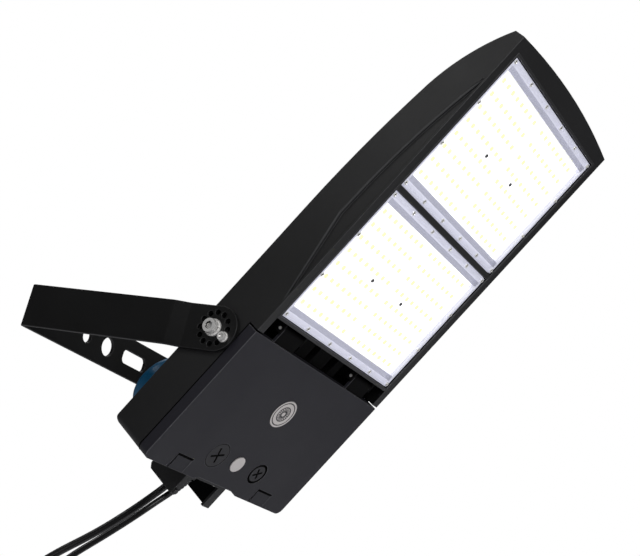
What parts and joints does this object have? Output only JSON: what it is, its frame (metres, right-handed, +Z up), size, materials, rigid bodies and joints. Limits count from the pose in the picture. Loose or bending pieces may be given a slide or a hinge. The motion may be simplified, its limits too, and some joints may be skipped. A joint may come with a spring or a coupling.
{
  "type": "led floodlight",
  "caption": "Outdoor LED floodlight: flat black housing with two lens plates and a hinged driver door, on an indexed tilting wall yoke, with a twist-lock photocell and two cables.",
  "frame": {"origin": "centre of the large hole in the yoke's web, on the face that lies against the wall", "axes": "+Y into the wall along the hole, +Z up, X along the tilt axis"},
  "size_m": [0.3466, 0.5525, 0.7666],
  "materials": {
    "black_casting": "cast aluminium with a fine black powder coat",
    "black_plastic": "black moulded nylon",
    "black_rubber": "matte black rubber jacket",
    "blue_cap": "blue moulded cap",
    "brass_blades": "plain brass",
    "chip_phosphor": "pale yellow phosphor",
    "clear_lens": "clear moulded polycarbonate",
    "copper_ends": "bare copper strands",
    "driver_case": "grey anodised case",
    "green_plastic": "green moulded terminal",
    "grey_rubber": "silicone seal",
    "silver_label": "satin silver disc",
    "slate_door": "cast aluminium with a satin slate-grey powder coat",
    "stainless": "stainless steel, lightly polished",
    "white_board": "white solder mask on aluminium",
    "white_plastic": "white moulded case",
    "white_rubber": "pale silicone seal",
    "wire_jacket": "coloured wire insulation",
    "yoke_steel": "black powder-coated steel strap"
  },
  "bodies": {
    "yoke": {"yoke_bracket": "yoke_steel", "index_screws": "stainless", "index_washers": "stainless", "power_coil": "black_rubber", "dimming_coil": "black_rubber", "power_leads": "wire_jacket", "dimming_leads": "wire_jacket", "bare_ends": "copper_ends", "coil_ties": "black_plastic"},
    "lamp": {"board_screws": "stainless", "cable_neck": "black_casting", "dimming_cable": "black_rubber", "dimming_entry": "black_rubber", "door_gasket": "grey_rubber", "driver_screws": "stainless", "gland_bodies": "black_plastic", "gland_caps": "black_plastic", "gland_locknuts": "black_plastic", "hinge_pins": "stainless", "lamp_housing": "black_casting", "led_board_1": "white_board", "led_board_2": "white_board", "led_chips_1": "chip_phosphor", "led_chips_2": "chip_phosphor", "led_driver": "driver_case", "lens_1": "clear_lens", "lens_2": "clear_lens", "lens_gasket_1": "white_rubber", "lens_gasket_2": "white_rubber", "lens_screws": "stainless", "neck_lip_screw": "black_plastic", "neck_screws": "stainless", "photocell_socket": "black_plastic", "pivot_screws": "stainless", "pivot_washers": "stainless", "power_cable": "black_rubber", "power_entry": "black_rubber", "socket_gasket": "black_rubber", "spring_washers": "stainless", "surge_protector": "white_plastic", "terminal_block": "green_plastic"},
    "driver_door": {"driver_door": "slate_door", "door_screw_large": "slate_door", "door_screw_small": "slate_door", "door_vent_plug": "silver_label", "door_plug_nut": "black_plastic", "door_disc": "silver_label"},
    "photocell": {"photocell_base": "black_plastic", "photocell_blades": "brass_blades", "photocell_cap": "blue_cap"}
  },
  "joints": [
    {"name": "tilt", "type": "hinge", "parent": "yoke", "child": "lamp", "pos_m": [0, -0.269, 0], "axis": [1, 0, 0], "range_deg": [-60, 57], "deforming": ["power_cable", "dimming_cable"]},
    {"name": "door_hinge", "type": "hinge", "parent": "lamp", "child": "driver_door", "pos_m": [0, -0.32311, 0.0209], "axis": [-1, 0, 0], "range_deg": [0, 95]},
    {"name": "photocell_twist", "type": "hinge", "parent": "lamp", "child": "photocell", "pos_m": [-0.0265, -0.18091, -0.07872], "axis": [0, 0.8387, 0.5446], "range_deg": [0, 35]}
  ]
}
